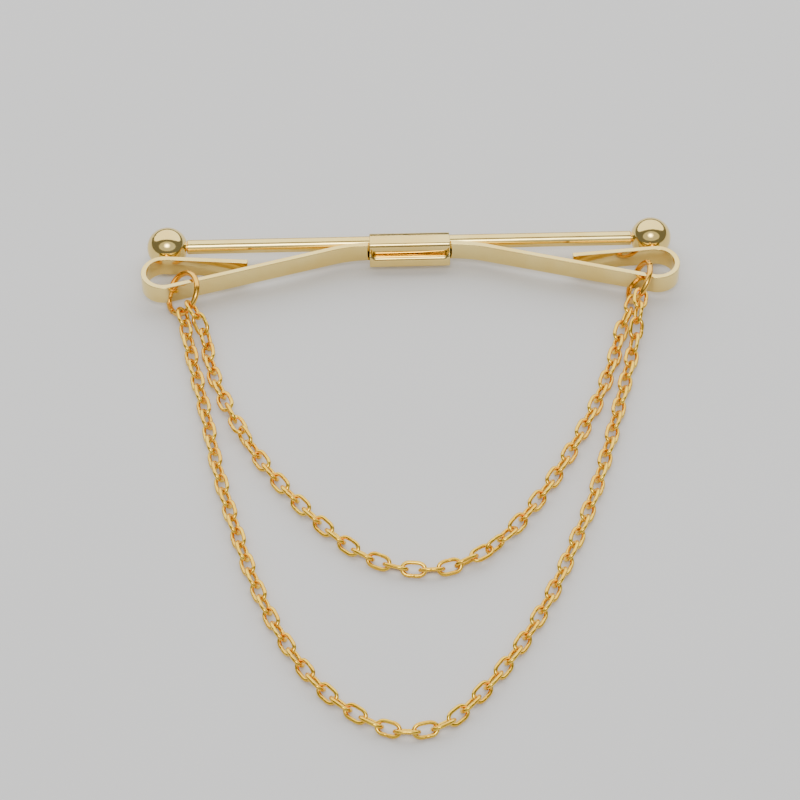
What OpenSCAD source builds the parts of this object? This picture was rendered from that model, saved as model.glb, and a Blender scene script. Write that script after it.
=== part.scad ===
// Collar bar: a round rod with a ball at each end, a flat spring strip clasped to it by a
// sleeve, and two cable chains that hang from jump rings threaded on the strip.
// It lies on a table: X runs along the rod, Y points away from the chains and Z is up.

/* [Bar] */
// Length over the two spring loops
overall_length = 61.4; // [58:0.2:66]
// Diameter of the rod
rod_d = 1.66; // [1.4:0.02:2]
// Diameter of each ball
ball_d = 4.66; // [4.2:0.02:5.2]
// Distance between the centres of the balls
ball_spacing = 55.6; // [53:0.2:57]
// Diameter of the spigot that carries each ball
spigot_d = 0.9; // [0.6:0.05:1.2]
// How far each spigot reaches into its ball
spigot_depth = 1.4; // [0.8:0.1:2]
// Gap between the shoulder of the rod and the flat on the ball
shoulder_gap = 0.06; // [0.02:0.01:0.3]

/* [Spring strip] */
// Thickness of the strip
strip_t = 0.6; // [0.4:0.02:0.7]
// Width of the strip
strip_w = 2.4; // [2:0.05:2.6]
// Height of each loop over its outer faces
loop_h = 5.15; // [4.6:0.05:5.6]
// Length of each tongue, from the middle of its loop to its tip
tongue_l = 9.6; // [7:0.1:11]
// Angle at which each tongue leans in from its loop
tongue_angle = 5; // [3:0.5:6]
// Gap between each tongue and its ball
tongue_gap = 0.2; // [0.1:0.05:0.4]
// Gap between the rod and the strip inside the sleeve
rod_gap = 0.15; // [0.05:0.05:0.3]
// Radius of the bend where the strip leaves the sleeve
leg_bend_r = 15; // [6:1:20]

/* [Sleeve] */
// Length of the sleeve
sleeve_l = 9.2; // [7:0.2:12]
// Thickness of its sheet
sleeve_t = 0.26; // [0.2:0.01:0.3]
// Outer radius of its corners
sleeve_r = 0.38; // [0.32:0.01:0.45]
// Outer radius of the roll from the top of the sleeve to its front
roll_r = 0.55; // [0.4:0.01:0.65]
// How far its lower edge stands out in front of the upper one
lip_reach = 0.75; // [0.5:0.05:0.9]
// Height of the lip above the axis of the rod
lip_rise = 0; // [-0.3:0.05:0.3]
// Gap between the two edges of the sheet
seam_gap = 0.12; // [0.05:0.01:0.3]

/* [Jump rings] */
// Outer diameter of each ring
ring_d = 5.45; // [5.3:0.05:6]
// Diameter of the ring wire
ring_wire = 0.65; // [0.5:0.01:0.7]
// Distance from the end of the loop to the middle of the ring
ring_inset = 4.75; // [4:0.05:6]
// How far each ring is drawn forwards from the middle of the strip
ring_pull = 0.4; // [0.3:0.05:0.5]
// Lean of the left ring
left_lean = 40; // [30:1:41]
// Lean of the right ring
right_lean = 28; // [20:1:36]
// Turn of the left ring about the vertical
left_turn = 19; // [10:1:24]
// Turn of the right ring about the vertical
right_turn = -6; // [-12:1:6]
// Gap at the cut in each ring
ring_cut = 0.14; // [0.05:0.01:0.3]
// Where the left ring is cut, round the ring from its lowest point
left_cut = 347; // [335:1:355]
// Where the right ring is cut, round the ring from its lowest point
right_cut = 160; // [130:1:230]

/* [Chains] */
// Diameter of the link wire
link_wire = 0.45; // [0.38:0.01:0.48]
// Length of a link over its ends
link_l = 2.95; // [2.8:0.05:3.4]
// Width of a link over its sides
link_w = 1.85; // [1.7:0.05:2]
// Play between two links
link_play = 0.07; // [0.05:0.01:0.1]
// How far the outer chain reaches forwards from the rings
outer_drop = 59; // [52:1:66]
// How far the inner chain reaches forwards from the rings
inner_drop = 38; // [34:1:44]
// Number of links in each upper leg of the outer chain
outer_upper_links = 10; // [7:1:12]
// Number of links in each lower leg of the outer chain
outer_lower_links = 11; // [8:1:13]
// Number of links in each leg of the inner chain
inner_leg_links = 10; // [7:1:13]

/* [Hidden] */

$fn = 64;
fit = 0.02;
overlap = 0.01;
chamfer = 0.12;

bar_gold = [0.86, 0.77, 0.56];
ring_gold = [0.85, 0.55, 0.25];
chain_gold = [0.93, 0.70, 0.26];

// The balls stand on the table, so their radius is the height of the rod's axis.
rod_r = rod_d / 2;
ball_r = ball_d / 2;
axis_z = ball_r;

// Each ball has a flat as wide as the rod, for the shoulder of the rod.
flat_x = sqrt(ball_r * ball_r - rod_r * rod_r);
rod_end = ball_spacing / 2 - flat_x - shoulder_gap;
rod_tip = ball_spacing / 2 - ball_r + spigot_depth;

// Middle plane of the strip inside the sleeve, and the loop at its right end
strip_y = -(rod_r + rod_gap + strip_t / 2);
loop_r = (loop_h - strip_t) / 2;
loop_x = overall_length / 2 - loop_h / 2;
loop_y = -(ball_r + tongue_gap) - loop_h / 2;
mouth_x = sleeve_l / 2 + fit;

// Angle of the leg, a straight that is tangent to the bend at the sleeve and to the loop
leg_run = loop_x - mouth_x;
leg_rise = loop_y - strip_y + leg_bend_r;
leg_angle = atan2(leg_run, leg_rise)
    - acos((loop_r + leg_bend_r) / norm([leg_run, leg_rise]));
leg_start = [mouth_x + leg_bend_r * sin(leg_angle),
             strip_y - leg_bend_r * (1 - cos(leg_angle))];
leg_end = [loop_x - loop_r * sin(leg_angle), loop_y - loop_r * cos(leg_angle)];
loop_turn = 180 + leg_angle + tongue_angle;
function leg_y(x) = leg_start[1] - (x - leg_start[0]) * tan(leg_angle);

// Hollow of the sleeve, round the strip
hollow_front = strip_y - strip_t / 2 - fit;
hollow_back = strip_y + strip_t / 2 + fit;
hollow_top = strip_w / 2 + fit;

// Play between what lies on the table and the table
table_gap = 0.03;

// Rings: the place of their middle, from the strip that they are threaded on
ring_r = (ring_d - ring_wire) / 2;
ring_x = overall_length / 2 - ring_inset;
ring_y = leg_y(ring_x) - ring_pull;
function ring_z(lean) = ring_r * cos(lean) + ring_wire / 2 + table_gap;
left_ring_at = [-ring_x, ring_y, ring_z(left_lean)];
right_ring_at = [ring_x, ring_y, ring_z(right_lean)];

// Links: size of the middle line of their wire, and the spacing of their middles
link_run = link_l - link_wire;
link_bend_r = (link_w - link_wire) / 2;
link_pitch = link_run - link_wire - link_play;
hook_play = 0.1;
hook_reach = (ring_wire + link_wire) / 2 + hook_play;
first_link = link_run / 2 - hook_reach;

// Where the chains hook on the rings: to each side of the point where the wire runs across
hook_angle = 18;
left_fall = 0;
right_fall = 10;
function turned(v, lean, turn) =
    let (leant = [v[0] * cos(lean) + v[2] * sin(lean), v[1], v[2] * cos(lean) - v[0] * sin(lean)])
    [leant[0] * cos(turn) - leant[1] * sin(turn), leant[0] * sin(turn) + leant[1] * cos(turn), leant[2]];
function ring_point(at, lean, turn, angle) =
    at + turned([0, -ring_r * cos(angle), ring_r * sin(angle)], lean, turn);
function across(lean, turn, fall) =
    -atan(sin(lean) * tan(turn) + tan(fall) * cos(lean) / cos(turn));
function left_hook(side) =
    ring_point(left_ring_at, left_lean, left_turn,
               across(left_lean, left_turn, left_fall) + side * hook_angle);
function right_hook(side) =
    ring_point(right_ring_at, right_lean, right_turn,
               across(right_lean, right_turn, right_fall) - side * hook_angle);

// Shape of each chain as it lies, in shares of half the span between the rings and of its drop
outer_route = [[-0.98, 0.1], [-0.915, 0.25], [-0.86, 0.39], [-0.795, 0.515], [-0.715, 0.645],
               [-0.61, 0.77], [-0.465, 0.885], [-0.31, 0.957], [-0.13, 1], [0.045, 0.99],
               [0.185, 0.935], [0.35, 0.84], [0.5, 0.725], [0.62, 0.605], [0.73, 0.48],
               [0.82, 0.35], [0.9, 0.22], [0.965, 0.11]];
inner_route = [[-0.92, 0.09], [-0.895, 0.2], [-0.855, 0.3], [-0.78, 0.435], [-0.645, 0.615],
               [-0.465, 0.79], [-0.28, 0.925], [-0.1, 0.99], [0.09, 0.995], [0.25, 0.945],
               [0.38, 0.86], [0.545, 0.7], [0.69, 0.52], [0.8, 0.355], [0.88, 0.2], [0.92, 0.1]];

// Roll of the links that face up, along each chain. The inner chain has two quarter twists.
outer_roll = [[0, 47], [0.08, 40], [0.5, 42], [0.92, 38], [1, 24]];
inner_roll = [[0, 47], [0.08, 38], [0.14, 36], [0.24, -54], [0.53, -50], [0.63, -140],
              [0.92, -142], [1, -152]];

// Length over which each chain comes down from its ring to the table
outer_fall = 8;
inner_fall = 5.5;

// Smooth curve through points, with the speed at each point set by its neighbours
function gap_after(points, i) = norm(points[i + 1] - points[i]);
function slope_at(points, i) =
    let (last = len(points) - 1, a = max(i - 1, 0), b = min(i + 1, last))
    (points[b] - points[a]) / ((i > 0 ? gap_after(points, i - 1) : 0)
                             + (i < last ? gap_after(points, i) : 0));
function between(points, i, t) =
    let (d = gap_after(points, i), u = t - 1)
    points[i] * u * u * (1 + 2 * t) + points[i + 1] * t * t * (3 - 2 * t)
    + (slope_at(points, i) * t * u * u + slope_at(points, i + 1) * t * t * u) * d;
samples = 10;
function curve(points) = [
    for (i = [0 : len(points) - 2]) for (k = [0 : samples - 1]) between(points, i, k / samples),
    points[len(points) - 1]];
function lengths(line, i = 1, total = 0, found = [0]) =
    i >= len(line) ? found
    : let (next = total + norm(line[i] - line[i - 1]))
      lengths(line, i + 1, next, concat(found, next));

// Middle line of a chain: flat on the table, but rising to its hook on each ring
function fade(t) = t >= 1 ? 0 : (1 - t) * (1 - t) * (1 + 2 * t);
function rest_height(roll) =
    link_bend_r * max(abs(sin(roll)), abs(cos(roll))) + link_wire / 2 + table_gap;
function laid(flat, reached, roll, z_left, z_right, run) =
    let (full = reached[len(reached) - 1]) [
    for (i = [0 : len(flat) - 1])
        let (low = rest_height(lookup(reached[i] / full, roll)))
        [flat[i][0], flat[i][1], low + (z_left - low) * fade(reached[i] / run)
                                     + (z_right - low) * fade((full - reached[i]) / run)]];
function middle_line(route, drop, side, roll, run) =
    let (a = left_hook(side), b = right_hook(side),
         middle = (left_hook(0)[0] + right_hook(0)[0]) / 2,
         half = (right_hook(0)[0] - left_hook(0)[0]) / 2,
         front = (a[1] + b[1]) / 2,
         points = concat([[a[0], a[1]]],
                         [for (p = route) [middle + p[0] * half, front - p[1] * drop]],
                         [[b[0], b[1]]]),
         flat = curve(points))
    laid(flat, lengths(flat), roll, a[2], b[2], run);

// Point at a distance along a middle line
function point_at(line, reached, s) =
    let (i = [for (k = [0 : len(line) - 2]) if (reached[k + 1] >= s || k == len(line) - 2) k][0])
    line[i] + (line[i + 1] - line[i]) * (s - reached[i]) / (reached[i + 1] - reached[i]);

// Each link: [middle, direction, roll]. An even number of them fills the middle line.
function link_count(full) = 2 * ceil(((full - 2 * first_link) / link_pitch + 1) / 2);
function links(line, roll) =
    let (reached = lengths(line), full = reached[len(reached) - 1], count = link_count(full),
         step = (full - 2 * first_link) / (count - 1)) [
    for (i = [0 : count - 1])
        let (s = first_link + i * step, reach = min(link_run / 4, first_link))
        [point_at(line, reached, s),
         point_at(line, reached, s + reach) - point_at(line, reached, s - reach),
         lookup(s / full, roll) + 90 * (i - 1)]];
outer_links = links(middle_line(outer_route, outer_drop, -1, outer_roll, outer_fall), outer_roll);
inner_links = links(middle_line(inner_route, inner_drop, 1, inner_roll, inner_fall), inner_roll);
outer_count = len(outer_links);
inner_count = len(inner_links);

// The origin is midway between the back of the balls and the front of the outer chain
function link_front(l) =
    let (t = l[1] / norm(l[1]),
         across = [-t[1], t[0], 0] / norm([t[0], t[1]]),
         side_y = cos(l[2]) * across[1] + sin(l[2]) * cross(t, across)[1])
    l[0][1] - (link_run / 2 - link_bend_r) * abs(t[1]) - link_bend_r * norm([t[1], side_y])
    - link_wire / 2;
front_y = min([for (l = outer_links) link_front(l)]);
middle_y = (ball_r + front_y) / 2;

module placed() {
    translate([0, -middle_y, 0]) children();
}

module along_x(profile) {
    rotate([0, 90, 0]) rotate_extrude() polygon(profile);
}

module bar_rod() {
    color(bar_gold) placed() translate([0, 0, axis_z]) along_x([
        [0, -rod_tip], [spigot_d / 2, -rod_tip], [spigot_d / 2, -rod_end],
        [rod_r - chamfer, -rod_end], [rod_r, -rod_end + chamfer],
        [rod_r, rod_end - chamfer], [rod_r - chamfer, rod_end],
        [spigot_d / 2, rod_end], [spigot_d / 2, rod_tip], [0, rod_tip]]);
}

// A ball, drilled from the left for the spigot, with a flat round the hole
module ball() {
    difference() {
        sphere(r = ball_r);
        translate([-ball_r - overlap, 0, 0]) rotate([0, 90, 0])
            cylinder(d = spigot_d + 2 * fit, h = spigot_depth + fit + overlap);
        translate([-ball_r - overlap, 0, 0]) rotate([0, 90, 0])
            cylinder(r = ball_r, h = ball_r - flat_x + overlap);
    }
}

module right_ball() {
    color(bar_gold) placed() translate([ball_spacing / 2, 0, axis_z]) ball();
}

module left_ball() {
    color(bar_gold) placed() translate([-ball_spacing / 2, 0, axis_z]) mirror([1, 0, 0]) ball();
}

module box_2d(low, high) {
    translate(low) square(high - low);
}

module rounded(low, high, r) {
    box_2d(low + [r, 0], high - [r, 0]);
    box_2d(low + [0, r], high - [0, r]);
    for (y = [low[0] + r, high[0] - r], z = [low[1] + r, high[1] - r]) translate([y, z]) circle(r);
}

// Bridge between the round back and the block round the strip, cut a little into both
module bridge(back_r, block_back, block_top) {
    far = norm([block_back, block_top]);
    touch = atan2(block_top, block_back) - acos(back_r / far);
    inside = back_r - overlap;
    polygon([[block_back - overlap, -block_top + overlap],
             [inside * cos(touch), -inside * sin(touch)],
             [inside * cos(touch), inside * sin(touch)],
             [block_back - overlap, block_top - overlap]]);
}

// Bent sheet round the rod and the strip. Its lower edge is rolled into a lip that stands out
// in front, and its upper edge comes down to the lip.
module sleeve_section() {
    back_r = rod_r + fit;
    front = hollow_front - sleeve_t;
    top = hollow_top + sleeve_t;
    lip_front = front - lip_reach;
    difference() {
        union() {
            circle(back_r + sleeve_t);
            bridge(back_r + sleeve_t, hollow_back, top);
            rounded([front, -top], [hollow_back + roll_r, top], roll_r);
            rounded([lip_front, -top], [hollow_back, lip_rise], sleeve_r);
        }
        circle(back_r);
        bridge(back_r, hollow_back, hollow_top);
        box_2d([hollow_front, -hollow_top], [hollow_back, hollow_top]);
        rounded([lip_front + sleeve_t, -hollow_top], [hollow_back, lip_rise - sleeve_t],
                sleeve_r - sleeve_t);
        box_2d([front - overlap, lip_rise], [hollow_front + overlap, lip_rise + seam_gap]);
    }
}

module sleeve() {
    color(bar_gold) placed() translate([0, 0, axis_z]) rotate([90, 0, 90])
        translate([0, 0, -sleeve_l / 2]) linear_extrude(sleeve_l) sleeve_section();
}

module spring_centre() {
    color(bar_gold) placed() translate([-mouth_x, strip_y - strip_t / 2, axis_z - strip_w / 2])
        cube([2 * mouth_x, strip_t, strip_w]);
}

// Bend of the strip: it starts along +X at the origin and turns left round its centre
module bend(r, turn) {
    translate([0, r, 0]) rotate([0, 0, -90]) rotate_extrude(angle = turn)
        translate([r - strip_t / 2, -strip_w / 2]) square([strip_t, strip_w]);
}

// The leg lies along X here, with the bend at the sleeve before it and the loop after it.
// The tongue is a little thinner than the loop and starts inside it.
module spring_arm() {
    leg_l = norm(leg_end - leg_start);
    tongue_run = tongue_l - loop_r * sin(tongue_angle);
    root = strip_t / 3;
    thin = strip_t - 2 * overlap;
    translate([leg_start[0], leg_start[1], axis_z]) rotate([0, 0, -leg_angle]) {
        rotate([0, 0, 180]) bend(leg_bend_r, leg_angle);
        translate([0, -strip_t / 2, -strip_w / 2]) cube([leg_l, strip_t, strip_w]);
        translate([leg_l, 0, 0]) bend(loop_r, loop_turn);
        translate([leg_l, loop_r, 0]) rotate([0, 0, loop_turn])
            translate([-root, -loop_r - thin / 2, -strip_w / 2 + overlap])
                cube([tongue_run + root, thin, strip_w - 2 * overlap]);
    }
}

module right_spring_arm() {
    color(bar_gold) placed() spring_arm();
}

module left_spring_arm() {
    color(bar_gold) placed() mirror([1, 0, 0]) spring_arm();
}

// A ring of round wire, cut through once
module jump_ring(at, lean, turn, cut_angle) {
    cut = ring_cut / ring_r * 180 / PI;
    color(ring_gold) placed() translate(at) rotate([0, lean, turn]) rotate([0, 90, 0])
        rotate([0, 0, cut_angle])
            rotate_extrude(angle = 360 - cut) translate([ring_r, 0]) circle(d = ring_wire);
}

module left_ring() {
    jump_ring(left_ring_at, left_lean, left_turn, left_cut);
}

module right_ring() {
    jump_ring(right_ring_at, right_lean, right_turn, right_cut);
}

// Oval link, lying along X in the XY plane
module link() {
    straight_run = link_run - 2 * link_bend_r;
    for (side = [0, 1]) rotate([0, 0, side * 180]) {
        translate([straight_run / 2, 0, 0]) rotate([0, 0, -90])
            rotate_extrude(angle = 180) translate([link_bend_r, 0]) circle(d = link_wire);
        translate([-straight_run / 2, link_bend_r, 0]) rotate([0, 90, 0])
            cylinder(d = link_wire, h = straight_run);
    }
}

module chain_links(all, from, to) {
    color(chain_gold) placed() for (i = [from : to]) {
        d = all[i][1];
        rise = asin(d[2] / norm(d));
        translate(all[i][0]) rotate([all[i][2], -rise, atan2(d[1], d[0])]) link();
    }
}

module outer_left_end_link() { chain_links(outer_links, 0, 0); }
module outer_left_upper_links() { chain_links(outer_links, 1, outer_upper_links - 1); }
module outer_left_lower_links() {
    chain_links(outer_links, outer_upper_links, outer_upper_links + outer_lower_links - 1);
}
module outer_bow_links() {
    leg = outer_upper_links + outer_lower_links;
    chain_links(outer_links, leg, outer_count - 1 - leg);
}
module outer_right_lower_links() {
    leg = outer_upper_links + outer_lower_links;
    chain_links(outer_links, outer_count - leg, outer_count - 1 - outer_upper_links);
}
module outer_right_upper_links() {
    chain_links(outer_links, outer_count - outer_upper_links, outer_count - 2);
}
module outer_right_end_link() { chain_links(outer_links, outer_count - 1, outer_count - 1); }
module inner_left_end_link() { chain_links(inner_links, 0, 0); }
module inner_left_links() { chain_links(inner_links, 1, inner_leg_links - 1); }
module inner_bow_links() {
    chain_links(inner_links, inner_leg_links, inner_count - 1 - inner_leg_links);
}
module inner_right_links() {
    chain_links(inner_links, inner_count - inner_leg_links, inner_count - 2);
}
module inner_right_end_link() { chain_links(inner_links, inner_count - 1, inner_count - 1); }

bar_rod();
left_ball();
right_ball();
sleeve();
spring_centre();
left_spring_arm();
right_spring_arm();
left_ring();
right_ring();
outer_left_end_link();
outer_left_upper_links();
outer_left_lower_links();
outer_bow_links();
outer_right_lower_links();
outer_right_upper_links();
outer_right_end_link();
inner_left_end_link();
inner_left_links();
inner_bow_links();
inner_right_links();
inner_right_end_link();
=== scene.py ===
import math

import bmesh
import bpy
import numpy as np
from mathutils import Matrix, Vector


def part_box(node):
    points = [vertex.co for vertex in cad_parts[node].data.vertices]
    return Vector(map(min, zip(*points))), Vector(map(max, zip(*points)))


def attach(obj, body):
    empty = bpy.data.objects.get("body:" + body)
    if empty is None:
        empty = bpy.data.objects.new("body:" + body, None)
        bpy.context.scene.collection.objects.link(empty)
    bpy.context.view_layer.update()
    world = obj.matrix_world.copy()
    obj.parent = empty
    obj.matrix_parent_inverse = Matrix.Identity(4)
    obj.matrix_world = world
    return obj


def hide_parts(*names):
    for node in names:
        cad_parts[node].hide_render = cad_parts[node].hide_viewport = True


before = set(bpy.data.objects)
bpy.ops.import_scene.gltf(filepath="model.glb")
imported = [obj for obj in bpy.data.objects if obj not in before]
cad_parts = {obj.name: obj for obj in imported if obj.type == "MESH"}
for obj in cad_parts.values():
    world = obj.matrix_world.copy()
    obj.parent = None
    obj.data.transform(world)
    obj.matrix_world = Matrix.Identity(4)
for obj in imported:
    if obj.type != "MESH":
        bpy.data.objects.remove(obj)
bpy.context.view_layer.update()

# Sizes are in millimetres, as in the CAD source, and MM turns them into metres.
MM = 0.001

QUARTER_TURN = math.pi / 2
HALF_TURN = math.pi
WHOLE_TURN = 2 * math.pi

# Camera, at the viewing angle of the photograph
CAMERA_AT = (-9.3, -242.8, 279.8)
CAMERA_AIM = (-1.74, 11.2, 0.0)
NEAREST_SEEN = 10.0
LENS_MM = 153.0
SENSOR_MM = 36.0

# Bar and spring strip
BAR_LENGTH = 61.4
BALL_D = 4.66
ROD_D = 1.66
STRIP_T = 0.6
STRIP_W = 2.4
STRIP_EDGE_R = 0.09
LOOP_H = 5.15
TONGUE_L = 9.6
TONGUE_ANGLE = math.radians(5)
TONGUE_GAP = 0.2
LEG_BEND_R = 15.0
ROD_GAP = 0.15
FIT = 0.02

# Middle plane of the strip inside the sleeve, from the axis of the rod
STRIP_Y = -(ROD_D / 2 + ROD_GAP + STRIP_T / 2)

# Steps along the strip: its first bend, leg, loop and tongue, and the rounding of its edges
BEND_STEPS = 14
LEG_STEPS = 24
LOOP_STEPS = 56
TONGUE_STEPS = 14
EDGE_STEPS = 4

# Sleeve
SLEEVE_L = 9.2
SLEEVE_T = 0.26
SLEEVE_R = 0.38
SLEEVE_END_R = 0.07
ROLL_R = 0.55
LIP_REACH = 0.75
LIP_RISE = 0.0
SEAM_GAP = 0.12

# At both ends of the sleeve the lip turns up and its edge draws back. The edge is
# drawn back LIP_BACK_LEAD times sooner than the lip is up.
FLARE_L = 0.7
FLARE_RISE = 0.45
LIP_BACK = 0.12
LIP_BACK_LEAD = 2

# The seam opens this much more at the right end of the sleeve
SEAM_OPEN = 0.2

# Steps round the sheet of the sleeve, in the order of its path
SEAM_STEPS = 6
ROLL_STEPS = 16
TOP_STEPS = 4
BACK_STEPS = 40
BOTTOM_STEPS = 8
CORNER_STEPS = 8
LIP_FRONT_STEPS = 5
LIP_TOP_STEPS = 4

# Steps round each long edge of the sheet, and the points that lie between its sides
SHEET_EDGE_STEPS = 6
SHEET_EDGE_POINTS = SHEET_EDGE_STEPS - 1

# Steps along the sleeve: its rounded end, its flare and the even part between the flares
END_STEPS = 4
FLARE_STEPS = 8
MIDDLE_STEPS = 24

# Rings: round wire, cut through. Each cut end has a small bevel, whose depth is a share of the
# wire's radius, and RING_TWIST is how far the two ends stand out of line.
RING_D = 5.45
RING_WIRE = 0.65
RING_BEVEL_L = 0.05
RING_BEVEL_DEPTH = 0.14
RING_BEVEL_STATIONS = (0.0, 0.4, 1.0)
RING_TWIST = 0.05
RING_STEPS = 128
RING_SIDES = 24

# Links. LINK_BEND_POWER is 1 for an ellipse, and nearer 0 for round ends on straight sides.
# The dip of the seam reaches to both sides of its middle, and its depth is a share of the radius.
LINK_L = 2.95
LINK_W = 1.85
LINK_WIRE = 0.45
LINK_BEND_POWER = 0.2
LINK_SEAM_REACH = 0.13
LINK_SEAM_DEPTH = 0.16
LINK_CIRCLE_POINTS = 120
LINK_STEPS = 48
LINK_SIDES = 14

# Keeps the sign of a place on the middle of a link from being 0
NUDGE = 0.001

# Corners of a CAD mesh that are nearer than this are one corner
SAME_CORNER = 0.0005

# Each node of links, and the body that it rides on
LINK_NODES = {
    "outer_left_end_link": "outer_left_upper",
    "outer_left_upper_links": "outer_left_upper",
    "outer_left_lower_links": "outer_left_lower",
    "outer_bow_links": "outer_bow",
    "outer_right_lower_links": "outer_right_lower",
    "outer_right_upper_links": "outer_right_upper",
    "outer_right_end_link": "outer_right_upper",
    "inner_left_end_link": "inner_left",
    "inner_left_links": "inner_left",
    "inner_bow_links": "inner_bow",
    "inner_right_links": "inner_right",
    "inner_right_end_link": "inner_right",
}

# Colours, as red, green, blue and opacity
BAR_PALE = (0.96, 0.75, 0.28, 1.0)
BAR_DEEP = (0.91, 0.66, 0.20, 1.0)
SLEEVE_PALE = (0.95, 0.73, 0.27, 1.0)
SLEEVE_DEEP = (0.90, 0.64, 0.19, 1.0)
RING_PALE = (0.98, 0.58, 0.09, 1.0)
RING_DEEP = (0.92, 0.47, 0.06, 1.0)
CHAIN_PALE = (1.0, 0.66, 0.07, 1.0)
CHAIN_DEEP = (0.96, 0.54, 0.04, 1.0)
FLOOR_DEEP = (0.74, 0.735, 0.725, 1.0)
FLOOR_PALE = (0.78, 0.775, 0.765, 1.0)
SKY = (0.98, 0.99, 1.0, 1.0)
SKY_STRENGTH = 0.2

# Depth of the pits in the sleeve's plating
SLEEVE_PITS = 0.006

# Roughness of the plating and of the wires, and what each pattern adds to it
PLATING_ROUGH = 0.035
CLOUD_ROUGH = 0.05
GRAIN_ROUGH = 0.07
SCRATCH_ROUGH = 0.1
PIT_ROUGH = 0.2
RING_ROUGH = 0.08
CHAIN_ROUGH = 0.1
WIRE_CLOUD_ROUGH = 0.06
WIRE_GRAIN_ROUGH = 0.09

# How far each pattern turns the plating from pale to deep
CLOUD_TINT = 0.8
SCRATCH_TINT = 0.1

# Share of the drawn lines in the finest relief of the plating. The rest is grain.
DRAWN_SHARE = 0.6

# Scales of a pattern that is drawn out along the bar
DRAWN_STRETCH = (0.04, 1.0, 1.0)
SCRATCH_STRETCH = (0.05, 1.0, 1.0)

# Sockets of a Mix node that mixes colours
MIX_FACTOR = 0
MIX_FIRST = 6
MIX_SECOND = 7
MIX_RESULT = 2

# Output of a Random Value node that gives whole numbers
RANDOM_WHOLE = 2

# Half the width of the studio floor, in metres
FLOOR_HALF = 1.6


# Shader nodes

class Value:
    """A socket whose number varies over a surface. Arithmetic on it adds Math nodes."""

    def __init__(self, finish, socket):
        self.finish = finish
        self.socket = socket

    def math(self, operation, other, swapped=False):
        terms = (other, self) if swapped else (self, other)
        return self.finish.node("ShaderNodeMath", {"operation": operation}, dict(enumerate(terms)))

    def __add__(self, other):
        return self.math("ADD", other)

    __radd__ = __add__

    def __sub__(self, other):
        return self.math("SUBTRACT", other)

    def __rsub__(self, other):
        return self.math("SUBTRACT", other, swapped=True)

    def __mul__(self, other):
        return self.math("MULTIPLY", other)

    __rmul__ = __mul__

    def eased(self, low, high):
        """0 below low, 1 above high and smooth between them."""
        sockets = {"Value": self, "From Min": low, "From Max": high}
        return self.finish.node("ShaderNodeMapRange", {"interpolation_type": "SMOOTHSTEP"}, sockets)


class Finish:
    """A material with one Principled shader, patterned in Object coordinates."""

    def __init__(self, name, **shader_values):
        self.material = bpy.data.materials.new(name)
        self.material.use_nodes = True
        self.tree = self.material.node_tree
        self.shader = self.tree.nodes["Principled BSDF"]
        for socket, value in shader_values.items():
            self.shader.inputs[socket.replace("_", " ")].default_value = value
        self.place = self.node("ShaderNodeTexCoord", {}, {}, "Object")

    def node(self, kind, settings, sockets, output=0):
        """Adds a node, sets it up, fills its sockets with values or links, and returns an output."""
        made = self.tree.nodes.new(kind)
        for key, value in settings.items():
            setattr(made, key, value)
        for key, value in sockets.items():
            if isinstance(value, Value):
                self.tree.links.new(value.socket, made.inputs[key])
            else:
                made.inputs[key].default_value = value
        return Value(self, made.outputs[output])

    def noise(self, size_mm, detail, roughness=0.5, stretch=None):
        """Noise whose lumps are about size_mm across, or longer along an axis."""
        place = self.place
        if stretch:
            place = self.node("ShaderNodeMapping", {}, {"Vector": place, "Scale": stretch})
        sockets = {"Vector": place, "Scale": 1 / (size_mm * MM), "Detail": detail, "Roughness": roughness}
        return self.node("ShaderNodeTexNoise", {}, sockets, "Fac")

    def cells(self, size_mm):
        """Distance to the nearest of scattered points that lie about size_mm apart."""
        sockets = {"Vector": self.place, "Scale": 1 / (size_mm * MM)}
        return self.node("ShaderNodeTexVoronoi", {}, sockets, "Distance")

    def mixed(self, mask, first, second):
        """The first colour where the mask is 0 and the second where it is 1."""
        sockets = {MIX_FACTOR: mask, MIX_FIRST: first, MIX_SECOND: second}
        return self.node("ShaderNodeMix", {"data_type": "RGBA"}, sockets, MIX_RESULT)

    def bump(self, height, depth_mm, under=None):
        sockets = {"Height": height, "Distance": depth_mm * MM, "Strength": 1.0}
        if under:
            sockets["Normal"] = under
        return self.node("ShaderNodeBump", {}, sockets, "Normal")

    def feed(self, **sockets):
        for socket, value in sockets.items():
            self.tree.links.new(value.socket, self.shader.inputs[socket.replace("_", " ")])


def polished_plating(name, pale, deep, pit_depth=0.0):
    """Bright plating with faint waves and scratches, and with small pits if they have a depth."""
    finish = Finish(name, Metallic=1.0, IOR=1.5)
    cloud = finish.noise(size_mm=5.0, detail=3.0)
    grain = finish.noise(size_mm=0.22, detail=4.0, roughness=0.6)
    drawn = finish.noise(size_mm=0.12, detail=3.0, roughness=0.6, stretch=DRAWN_STRETCH)
    scratch = finish.noise(size_mm=0.3, detail=2.0, roughness=0.4, stretch=SCRATCH_STRETCH)
    scratch = scratch.eased(low=0.66, high=0.72)
    waves = finish.noise(size_mm=2.6, detail=1.0)
    tint = cloud.eased(low=0.35, high=0.7) * CLOUD_TINT + scratch * SCRATCH_TINT
    rough = cloud * CLOUD_ROUGH + grain * GRAIN_ROUGH + scratch * SCRATCH_ROUGH + PLATING_ROUGH
    relief = drawn * DRAWN_SHARE + grain * (1 - DRAWN_SHARE)
    normal = finish.bump(waves, depth_mm=0.02)
    normal = finish.bump(relief, depth_mm=0.0012, under=normal)
    if pit_depth:
        clear = finish.cells(size_mm=0.55).eased(low=0.03, high=0.13)
        normal = finish.bump(clear, pit_depth, normal)
        rough = rough + (1 - clear) * PIT_ROUGH
    finish.feed(Base_Color=finish.mixed(tint, pale, deep), Roughness=rough, Normal=normal)
    return finish.material


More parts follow.
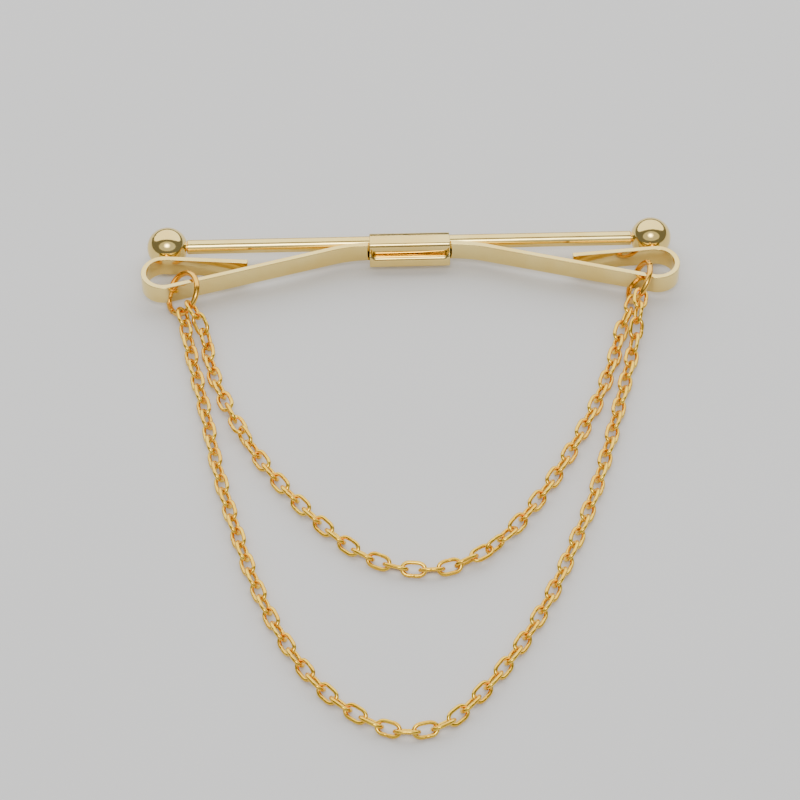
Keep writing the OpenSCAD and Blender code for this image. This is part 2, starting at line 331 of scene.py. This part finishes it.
def drawn_wire(name, pale, deep, base_rough):
    """Plated round wire with waves and grain from its drawing."""
    finish = Finish(name, Metallic=1.0, IOR=1.5)
    cloud = finish.noise(size_mm=1.4, detail=3.0)
    grain = finish.noise(size_mm=0.08, detail=3.0, roughness=0.6)
    waves = finish.noise(size_mm=0.55, detail=2.0)
    rough = cloud * WIRE_CLOUD_ROUGH + grain * WIRE_GRAIN_ROUGH + base_rough
    normal = finish.bump(waves, depth_mm=0.012)
    normal = finish.bump(grain, depth_mm=0.0022, under=normal)
    colour = finish.mixed(cloud.eased(low=0.3, high=0.7), pale, deep)
    finish.feed(Base_Color=colour, Roughness=rough, Normal=normal)
    return finish.material


def floor_paint():
    finish = Finish("studio_floor", Roughness=0.55, Specular_IOR_Level=0.3)
    mottle = finish.noise(size_mm=40.0, detail=2.0)
    finish.feed(Base_Color=finish.mixed(mottle, FLOOR_DEEP, FLOOR_PALE))
    return finish.material


# Meshes

def keep_object(name, mesh, material, smooth=True):
    if smooth:
        mesh.polygons.foreach_set("use_smooth", [True] * len(mesh.polygons))
    mesh.materials.clear()
    mesh.materials.append(material)
    piece = bpy.data.objects.new(name, mesh)
    bpy.context.scene.collection.objects.link(piece)
    return piece


def stand_in(piece, node, body):
    """The piece takes the place of a CAD node in what is shown."""
    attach(piece, body)
    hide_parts(node)


def merged_copy(node):
    """A CAD node's triangles, joined at their shared corners."""
    shape = bmesh.new()
    shape.from_mesh(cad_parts[node].data)
    bmesh.ops.remove_doubles(shape, verts=shape.verts, dist=SAME_CORNER * MM)
    return shape


def islands(shape):
    """The faces of each separate solid, in the order of the mesh."""
    seen = set()
    found = []
    for start in shape.faces:
        if start in seen:
            continue
        seen.add(start)
        solid = [start]
        # The list grows while it is walked, until it holds every face that can be reached
        for face in solid:
            for edge in face.edges:
                for other in edge.link_faces:
                    if other not in seen:
                        seen.add(other)
                        solid.append(other)
        found.append(solid)
    return found


def pose_of(solid):
    """Middle and turn of a link: X along it, Z across its plane."""
    areas = np.array([face.calc_area() for face in solid])
    centres = np.array([face.calc_center_median()[:] for face in solid])
    middle = (centres * areas[:, None]).sum(0) / areas.sum()
    spread = (centres - middle) * np.sqrt(areas)[:, None]
    axes = np.linalg.eigh(spread.T @ spread)[1].T
    x = Vector(axes[2])
    z = Vector(axes[0])
    turn = Matrix((x, z.cross(x), z)).transposed().to_quaternion()
    return middle, turn


def join_loops(shape, loops):
    """Faces between each loop of corners and the next."""
    count = len(loops[0])
    for near, far in zip(loops, loops[1:]):
        for i in range(count):
            j = (i + 1) % count
            shape.faces.new((near[i], near[j], far[j], far[i]))


def close_ends(shape, loops):
    """One face on the first loop of corners and one on the last."""
    shape.faces.new(loops[0][::-1])
    shape.faces.new(loops[-1])


def finished_mesh(name, shape):
    """The mesh of a closed shape, with its faces turned outwards."""
    bmesh.ops.recalc_face_normals(shape, faces=shape.faces)
    mesh = bpy.data.meshes.new(name)
    shape.to_mesh(mesh)
    shape.free()
    return mesh


# Geometry nodes

class Tree:
    """A Geometry Nodes tree that is written as calls."""

    def __init__(self, name, **inputs):
        self.tree = bpy.data.node_groups.new(name, "GeometryNodeTree")
        interface = self.tree.interface
        interface.new_socket("Geometry", in_out="INPUT", socket_type="NodeSocketGeometry")
        interface.new_socket("Geometry", in_out="OUTPUT", socket_type="NodeSocketGeometry")
        self.names = {}
        for key, kind in inputs.items():
            socket = interface.new_socket(key.replace("_", " "), in_out="INPUT", socket_type=kind)
            self.names[key] = socket.identifier
        self.inputs = self.tree.nodes.new("NodeGroupInput").outputs
        self.result = self.tree.nodes.new("NodeGroupOutput").inputs[0]

    def given(self, key):
        return self.inputs[key.replace("_", " ")]

    def node(self, kind, settings, sockets, output=0):
        made = self.tree.nodes.new(kind)
        for key, value in settings.items():
            setattr(made, key, value)
        for key, value in sockets.items():
            if isinstance(value, bpy.types.NodeSocket):
                self.tree.links.new(value, made.inputs[key])
            else:
                made.inputs[key].default_value = value
        return made.outputs[output]

    def math(self, operation, *terms):
        return self.node("ShaderNodeMath", {"operation": operation}, dict(enumerate(terms)))

    def finish(self, geometry):
        self.tree.links.new(geometry, self.result)

    def made_on(self, name, mesh, **values):
        """The plain mesh that the tree makes from a mesh, with its inputs set first."""
        carrier = bpy.data.objects.new(name, mesh)
        bpy.context.scene.collection.objects.link(carrier)
        step = carrier.modifiers.new(name, "NODES")
        step.node_group = self.tree
        for key, value in values.items():
            step[self.names[key]] = value
        bpy.context.view_layer.update()
        depsgraph = bpy.context.evaluated_depsgraph_get()
        result = bpy.data.meshes.new_from_object(carrier.evaluated_get(depsgraph))
        carrier.modifiers.clear()
        bpy.data.objects.remove(carrier)
        return result


def link_tree():
    """Oval links of round wire with a closed seam on one side, one on each point."""
    tree = Tree("oval_links", Length="NodeSocketFloat", Width="NodeSocketFloat",
                Wire="NodeSocketFloat", Steps="NodeSocketInt", Sides="NodeSocketInt",
                Seam_Depth="NodeSocketFloat", Seed="NodeSocketInt", Material="NodeSocketMaterial")
    length, width, wire = tree.given("Length"), tree.given("Width"), tree.given("Wire")
    bend_r = tree.math("MULTIPLY", tree.math("SUBTRACT", width, wire), 0.5)
    straight = tree.math("MULTIPLY", tree.math("SUBTRACT", length, width), 0.5)

    # A circle, whose halves are moved apart: the more, the farther a point is from the middle
    circle = tree.node("GeometryNodeCurvePrimitiveCircle", {"mode": "RADIUS"},
                       {"Resolution": LINK_CIRCLE_POINTS, "Radius": bend_r})
    at = tree.node("GeometryNodeInputPosition", {}, {})
    x = tree.node("ShaderNodeSeparateXYZ", {}, {0: at}, 0)
    y = tree.node("ShaderNodeSeparateXYZ", {}, {0: at}, 1)
    side = tree.math("SIGN", tree.math("ADD", x, NUDGE * MM))
    share = tree.math("DIVIDE", tree.math("ABSOLUTE", x), bend_r)
    share = tree.math("POWER", share, LINK_BEND_POWER)
    pull = tree.math("MULTIPLY", side, tree.math("MULTIPLY", straight, share))
    shift = tree.node("ShaderNodeCombineXYZ", {}, {0: pull})
    oval = tree.node("GeometryNodeSetPosition", {}, {"Geometry": circle, "Offset": shift})
    oval = tree.node("GeometryNodeResampleCurve", {}, {"Curve": oval, "Count": tree.given("Steps")})

    # The seam: a dip in the wire where its ends meet, on the middle of one straight side
    near = tree.node("ShaderNodeMapRange", {"interpolation_type": "SMOOTHSTEP"},
                     {"Value": tree.math("ABSOLUTE", x), "From Min": 0.0,
                      "From Max": LINK_SEAM_REACH * MM, "To Min": 1.0, "To Max": 0.0})
    on_side = tree.math("GREATER_THAN", y, 0.0)
    dip = tree.math("MULTIPLY", tree.math("MULTIPLY", near, on_side), tree.given("Seam_Depth"))
    oval = tree.node("GeometryNodeSetCurveRadius", {},
                     {"Curve": oval, "Radius": tree.math("SUBTRACT", 1.0, dip)})
    profile = tree.node("GeometryNodeCurvePrimitiveCircle", {"mode": "RADIUS"},
                        {"Resolution": tree.given("Sides"), "Radius": tree.math("MULTIPLY", wire, 0.5)})
    link = tree.node("GeometryNodeCurveToMesh", {},
                     {"Curve": oval, "Profile Curve": profile,
                      "Scale": tree.node("GeometryNodeInputRadius", {}, {})})

    # Each link stands on its point, with its seam on either side by chance
    turn = tree.node("GeometryNodeInputNamedAttribute", {"data_type": "QUATERNION"}, {"Name": "turn"})
    flip = tree.node("FunctionNodeRandomValue", {"data_type": "INT"},
                     {"Min": 0, "Max": 1, "Seed": tree.given("Seed")}, RANDOM_WHOLE)
    half = tree.node("ShaderNodeCombineXYZ", {}, {0: tree.math("MULTIPLY", flip, HALF_TURN)})
    half = tree.node("FunctionNodeEulerToRotation", {}, {0: half})
    turn = tree.node("FunctionNodeRotateRotation", {"rotation_space": "LOCAL"},
                     {"Rotation": turn, "Rotate By": half})
    points = tree.node("GeometryNodeMeshToPoints", {}, {"Mesh": tree.given("Geometry")})
    chain = tree.node("GeometryNodeInstanceOnPoints", {},
                      {"Points": points, "Instance": link, "Rotation": turn})
    chain = tree.node("GeometryNodeRealizeInstances", {}, {"Geometry": chain})
    tree.finish(tree.node("GeometryNodeSetMaterial", {},
                          {"Geometry": chain, "Material": tree.given("Material")}))
    return tree


def link_points(node):
    """A mesh with a point and a turn for each link of a CAD node."""
    shape = merged_copy(node)
    poses = [pose_of(solid) for solid in islands(shape)]
    shape.free()
    mesh = bpy.data.meshes.new(node + "_points")
    mesh.from_pydata([middle for middle, _ in poses], [], [])
    turns = mesh.attributes.new("turn", "QUATERNION", "POINT")
    turns.data.foreach_set("value", [part for _, turn in poses for part in turn])
    return mesh


# Paths in a plane

def arc(centre, radius, start, end, steps):
    """Points on a part of a circle, with both of its ends."""
    turns = [start + (end - start) * i / steps for i in range(steps + 1)]
    return [(centre[0] + radius * math.cos(t), centre[1] + radius * math.sin(t)) for t in turns]


def line(start, end, steps):
    """Points that divide a straight line evenly, with both of its ends."""
    return [(start[0] + (end[0] - start[0]) * i / steps, start[1] + (end[1] - start[1]) * i / steps)
            for i in range(steps + 1)]


def headings(points):
    """The direction of a path at each of its points."""
    last = len(points) - 1
    return [(points[min(i + 1, last)] - points[max(i - 1, 0)]).normalized() for i in range(last + 1)]


def rounded_rectangle(width, height, radius, steps):
    x = width / 2 - radius
    y = height / 2 - radius
    outline = []
    for quarter, centre in enumerate([(x, y), (-x, y), (-x, -y), (x, -y)]):
        start = quarter * QUARTER_TURN
        outline += arc(centre, radius, start, start + QUARTER_TURN, steps)
    return outline


def smooth_step(share):
    """0 up to a share of 0, 1 from a share of 1 and smooth between them."""
    share = min(max(share, 0.0), 1.0)
    return share * share * (3 - 2 * share)


# Spring strip

def strip_route():
    """Middle line of the right arm of the spring strip, from the sleeve to the tip of its tongue."""
    loop_r = (LOOP_H - STRIP_T) / 2
    loop_x = BAR_LENGTH / 2 - LOOP_H / 2
    loop_y = -(BALL_D / 2 + TONGUE_GAP) - LOOP_H / 2
    mouth_x = SLEEVE_L / 2 + FIT
    run = loop_x - mouth_x
    rise = loop_y - STRIP_Y + LEG_BEND_R
    leg = math.atan2(run, rise) - math.acos((loop_r + LEG_BEND_R) / math.hypot(run, rise))
    bend_centre = (mouth_x, STRIP_Y - LEG_BEND_R)
    route = arc(bend_centre, LEG_BEND_R, QUARTER_TURN, QUARTER_TURN - leg, BEND_STEPS)
    loop_start = (loop_x - loop_r * math.sin(leg), loop_y - loop_r * math.cos(leg))
    route += line(route[-1], loop_start, LEG_STEPS)[1:-1]
    start = -QUARTER_TURN - leg
    turned = HALF_TURN + leg + TONGUE_ANGLE
    route += arc((loop_x, loop_y), loop_r, start, start + turned, LOOP_STEPS)
    heading = HALF_TURN + TONGUE_ANGLE
    reach = TONGUE_L - loop_r * math.sin(TONGUE_ANGLE)
    loop_end = route[-1]
    tip = (loop_end[0] + math.cos(heading) * reach, loop_end[1] + math.sin(heading) * reach)
    route += line(loop_end, tip, TONGUE_STEPS)[1:]
    return route


def swept_strip(name, side, origin_y, axis_z):
    """The strip along its route, with rolled edges and a rounded tip."""
    route = [Vector(point) for point in strip_route()]
    heads = headings(route)
    stations = [(point, head, 0.0) for point, head in zip(route[:-1], heads)]
    tip = route[-1]
    tip_head = heads[-1]
    for i in range(EDGE_STEPS + 1):
        angle = QUARTER_TURN * i / EDGE_STEPS
        reach = STRIP_EDGE_R * (math.sin(angle) - 1)
        stations.append((tip + tip_head * reach, tip_head, STRIP_EDGE_R * (1 - math.cos(angle))))
    outline = rounded_rectangle(STRIP_T, STRIP_W, STRIP_EDGE_R, EDGE_STEPS)
    shape = bmesh.new()
    loops = []
    for point, head, inset in stations:
        out = Vector((head.y, -head.x))
        loop = []
        for across, up in outline:
            at = point + out * (across * (1 - 2 * inset / STRIP_T))
            height = up * (1 - 2 * inset / STRIP_W) + axis_z
            loop.append(shape.verts.new((side * at.x * MM, (at.y + origin_y) * MM, height * MM)))
        loops.append(loop)
    join_loops(shape, loops)
    close_ends(shape, loops)
    return finished_mesh(name, shape)


# Sleeve

def sleeve_path(lift, lip_back, opening):
    """Middle line of the sheet, round the rod and the strip, from the seam's upper edge to the lip."""
    corner = SLEEVE_R - SLEEVE_T / 2
    roll = ROLL_R - SLEEVE_T / 2
    back_r = ROD_D / 2 + FIT + SLEEVE_T / 2
    front = STRIP_Y - STRIP_T / 2 - FIT - SLEEVE_T / 2
    block_back = STRIP_Y + STRIP_T / 2 + FIT
    top = STRIP_W / 2 + FIT + SLEEVE_T / 2
    edge = LIP_RISE + SEAM_GAP + opening + SLEEVE_T / 2
    lip = front - LIP_REACH
    lip_top = LIP_RISE - SLEEVE_T / 2 + lift
    touch = math.atan2(top, block_back) - math.acos(back_r / math.hypot(block_back, top))
    path = line((front, edge), (front, top - roll), SEAM_STEPS)[:-1]
    path += arc((front + roll, top - roll), roll, HALF_TURN, QUARTER_TURN, ROLL_STEPS)
    path += line((front + roll, top), (block_back, top), TOP_STEPS)[1:]
    path += arc((0, 0), back_r, touch, -touch, BACK_STEPS)
    path += line((block_back, -top), (lip + corner, -top), BOTTOM_STEPS)
    path += arc((lip + corner, corner - top), corner, -QUARTER_TURN, -HALF_TURN, CORNER_STEPS)[1:]
    path += line((lip, corner - top), (lip, lip_top - corner), LIP_FRONT_STEPS)[1:-1]
    path += arc((lip + corner, lip_top - corner), corner, HALF_TURN, QUARTER_TURN, CORNER_STEPS)
    path += line((lip + corner, lip_top), (front - lip_back, lip_top), LIP_TOP_STEPS)[1:]
    return path


def sheet_edge(point, head, half_t):
    """Points round the edge in which a bent sheet ends, from one side of it to the other."""
    side = Vector((head.y, -head.x))
    turns = [HALF_TURN * k / SHEET_EDGE_STEPS for k in range(1, SHEET_EDGE_STEPS)]
    return [point + side * half_t * math.cos(turn) + head * half_t * math.sin(turn) for turn in turns]


def sheet_outline(path, half_t):
    """Closed outline of a bent sheet with round edges: one side out, the other side back."""
    points = [Vector(point) for point in path]
    heads = headings(points)
    offsets = [Vector((head.y, -head.x)) * half_t for head in heads]
    outline = [point + offset for point, offset in zip(points, offsets)]
    outline += sheet_edge(points[-1], heads[-1], half_t)
    outline += [point - offset for point, offset in reversed(list(zip(points, offsets)))]
    outline += sheet_edge(points[0], -heads[0], half_t)
    return outline


def close_sheet_end(shape, loop):
    """Faces across an end of a bent sheet, each from one of its sides to the other."""
    side_points = len(loop) // 2 - SHEET_EDGE_POINTS
    last_point = len(loop) - SHEET_EDGE_POINTS - 1
    for i in range(side_points - 1):
        far = last_point - i
        shape.faces.new((loop[i], loop[i + 1], loop[far - 1], loop[far]))
    shape.faces.new(loop[side_points - 1:side_points + SHEET_EDGE_POINTS + 1])
    shape.faces.new(loop[last_point:] + [loop[0]])


def bent_sleeve(name, origin_y, axis_z):
    """The sleeve, whose lip turns up at both ends and whose seam opens to the right."""
    half_l = SLEEVE_L / 2
    even_half = half_l - SLEEVE_END_R - FLARE_L

    # Places along the sleeve, with the share of the full rounding that the sheet has there
    left = []
    for k in range(END_STEPS + 1):
        angle = QUARTER_TURN * k / END_STEPS
        left.append((-half_l + SLEEVE_END_R * (1 - math.cos(angle)), math.sin(angle)))
    for k in range(1, FLARE_STEPS + 1):
        left.append((-half_l + SLEEVE_END_R + FLARE_L * k / FLARE_STEPS, 1.0))
    middle = [(-even_half + 2 * even_half * k / MIDDLE_STEPS, 1.0) for k in range(1, MIDDLE_STEPS)]
    right = [(-x, share) for x, share in reversed(left)]

    shape = bmesh.new()
    loops = []
    for x, share in left + middle + right:
        flare = smooth_step((abs(x) - even_half) / FLARE_L)
        lift = FLARE_RISE * flare ** 2
        lip_back = LIP_BACK * smooth_step(flare * LIP_BACK_LEAD)
        opening = SEAM_OPEN * smooth_step(x / half_l)
        half_t = SLEEVE_T / 2 - SLEEVE_END_R * (1 - share)
        outline = sheet_outline(sleeve_path(lift, lip_back, opening), half_t)
        corners = [(x * MM, (y + origin_y) * MM, (z + axis_z) * MM) for y, z in outline]
        loops.append([shape.verts.new(corner) for corner in corners])
    join_loops(shape, loops)
    close_sheet_end(shape, loops[0])
    close_sheet_end(shape, loops[-1])
    return finished_mesh(name, shape)


# Rings

def ring_frame(node):
    """Middle, turn and cut of a ring: X towards the cut, Z across the ring."""
    shape = merged_copy(node)
    points = np.array([vert.co[:] for vert in shape.verts])
    shape.free()
    mean = points.mean(0)
    axes = np.linalg.eigh((points - mean).T @ (points - mean))[1].T
    x = axes[2]
    y = axes[1]
    flat = np.stack([(points - mean) @ x, (points - mean) @ y], 1)

    # The circle through all the points, by least squares, and the widest gap between them
    system = np.column_stack([2 * flat, np.ones(len(flat))])
    middle = np.linalg.lstsq(system, (flat ** 2).sum(1), rcond=None)[0][:2]
    rays = flat - middle
    angles = np.sort(np.arctan2(rays[:, 1], rays[:, 0]))
    gaps = np.diff(np.append(angles, angles[0] + WHOLE_TURN))
    widest = int(gaps.argmax())
    cut = angles[widest] + gaps[widest] / 2
    to_cut = Vector(x * math.cos(cut) + y * math.sin(cut))
    normal = Vector(np.cross(x, y))
    at = Vector(mean + x * middle[0] + y * middle[1])
    turn = Matrix((to_cut, normal.cross(to_cut), normal)).transposed()
    return at, turn, float(gaps[widest])


def jump_ring(name, node):
    """Round wire bent to a ring. Its cut ends are sheared flat and stand slightly out of line."""
    at, turn, gap = ring_frame(node)
    radius = (RING_D - RING_WIRE) / 2
    wire_r = RING_WIRE / 2
    sweep = WHOLE_TURN - gap

    # Angles along the wire, with its thickness there as a share of the full one
    bevel = RING_BEVEL_L / radius
    first = [(bevel * share, 1 - RING_BEVEL_DEPTH * (1 - share) ** 2)
             for share in RING_BEVEL_STATIONS]
    middle = [(bevel + (sweep - 2 * bevel) * i / RING_STEPS, 1.0) for i in range(1, RING_STEPS)]
    last = [(sweep - along, size) for along, size in reversed(first)]

    shape = bmesh.new()
    loops = []
    for along, size in first + middle + last:
        angle = gap / 2 + along
        ray = Vector((math.cos(angle), math.sin(angle), 0))
        twist = RING_TWIST * (along / sweep - 0.5)
        loop = []
        for i in range(RING_SIDES):
            around = WHOLE_TURN * i / RING_SIDES
            local = ray * ((radius + wire_r * size * math.cos(around)) * MM)
            local.z = (twist + wire_r * size * math.sin(around)) * MM
            loop.append(shape.verts.new(at + turn @ local))
        loops.append(loop)
    join_loops(shape, loops)
    close_ends(shape, loops)
    return finished_mesh(name, shape)


# Studio

def set_camera():
    camera = bpy.data.objects.new("camera", bpy.data.cameras.new("camera"))
    camera.data.lens = LENS_MM
    camera.data.sensor_width = SENSOR_MM
    camera.data.clip_start = NEAREST_SEEN * MM
    camera.location = Vector(CAMERA_AT) * MM
    aim = Vector(CAMERA_AIM) * MM - camera.location
    camera.rotation_euler = aim.to_track_quat("-Z", "Y").to_euler()
    bpy.context.scene.collection.objects.link(camera)
    bpy.context.scene.camera = camera


def softbox(name, place, size, radiance):
    """A light that looks at the middle of the piece. Its place and size are in metres."""
    light = bpy.data.lights.new(name, "AREA")
    light.shape = "ELLIPSE"
    light.size, light.size_y = size
    light.energy = radiance * math.pi * size[0] * size[1]
    box = bpy.data.objects.new(name, light)
    box.location = place
    box.rotation_euler = (-Vector(place)).to_track_quat("-Z", "Y").to_euler()
    bpy.context.scene.collection.objects.link(box)


def set_studio():
    corners = [(-FLOOR_HALF, -FLOOR_HALF, 0), (FLOOR_HALF, -FLOOR_HALF, 0),
               (FLOOR_HALF, FLOOR_HALF, 0), (-FLOOR_HALF, FLOOR_HALF, 0)]
    mesh = bpy.data.meshes.new("studio_floor")
    mesh.from_pydata(corners, [], [(0, 1, 2, 3)])
    keep_object("studio_floor", mesh, floor_paint(), smooth=False)
    softbox("back_panel", place=(0.0, 0.42, 0.46), size=(2.2, 0.95), radiance=1.5)
    softbox("front_panel", place=(0.0, -0.44, 0.62), size=(1.7, 0.8), radiance=0.5)

    # Three lights, one in front of the other, make one bright spot with a soft edge
    softbox("front_halo", place=(-0.029, -0.38, 0.63), size=(0.46, 0.36), radiance=1.2)
    softbox("front_glow", place=(-0.028, -0.37, 0.61), size=(0.32, 0.25), radiance=2.2)
    softbox("front_core", place=(-0.027, -0.36, 0.59), size=(0.19, 0.15), radiance=4.5)
    world = bpy.data.worlds.new("studio")
    world.use_nodes = True
    sky = world.node_tree.nodes["Background"].inputs
    sky["Color"].default_value = SKY
    sky["Strength"].default_value = SKY_STRENGTH
    bpy.context.scene.world = world


set_camera()
set_studio()

bar_finish = polished_plating("bar_gold", BAR_PALE, BAR_DEEP)
sleeve_finish = polished_plating("sleeve_gold", SLEEVE_PALE, SLEEVE_DEEP, SLEEVE_PITS)
ring_finish = drawn_wire("ring_gold", RING_PALE, RING_DEEP, RING_ROUGH)
chain_finish = drawn_wire("chain_gold", CHAIN_PALE, CHAIN_DEEP, CHAIN_ROUGH)

for node in ("bar_rod", "left_ball", "right_ball", "spring_centre"):
    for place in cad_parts[node].material_slots:
        place.material = bar_finish

# The sleeve and the arms are drawn round the axis of the bar, which passes through the CAD balls.
ball_low, ball_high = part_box("right_ball")
bar_y = (ball_low.y + ball_high.y) / 2 / MM
bar_z = (ball_low.z + ball_high.z) / 2 / MM
sleeve = keep_object("bent_sleeve", bent_sleeve("bent_sleeve", bar_y, bar_z), sleeve_finish)
stand_in(sleeve, "sleeve", "bar")
for side, label in ((-1, "left"), (1, "right")):
    strip_name = label + "_strip"
    strip = keep_object(strip_name, swept_strip(strip_name, side, bar_y, bar_z), bar_finish)
    stand_in(strip, label + "_spring_arm", label + "_arm")
    ring_name = label + "_jump_ring"
    ring = keep_object(ring_name, jump_ring(ring_name, label + "_ring"), ring_finish)
    stand_in(ring, label + "_ring", label + "_ring_body")

oval_links = link_tree()
for seed, (node, body) in enumerate(LINK_NODES.items()):
    made = oval_links.made_on(
        node + "_wire", link_points(node), Length=LINK_L * MM, Width=LINK_W * MM, Wire=LINK_WIRE * MM,
        Steps=LINK_STEPS, Sides=LINK_SIDES, Seam_Depth=LINK_SEAM_DEPTH, Seed=seed, Material=chain_finish)
    links = keep_object(node + "_wire", made, chain_finish)
    stand_in(links, node, body)
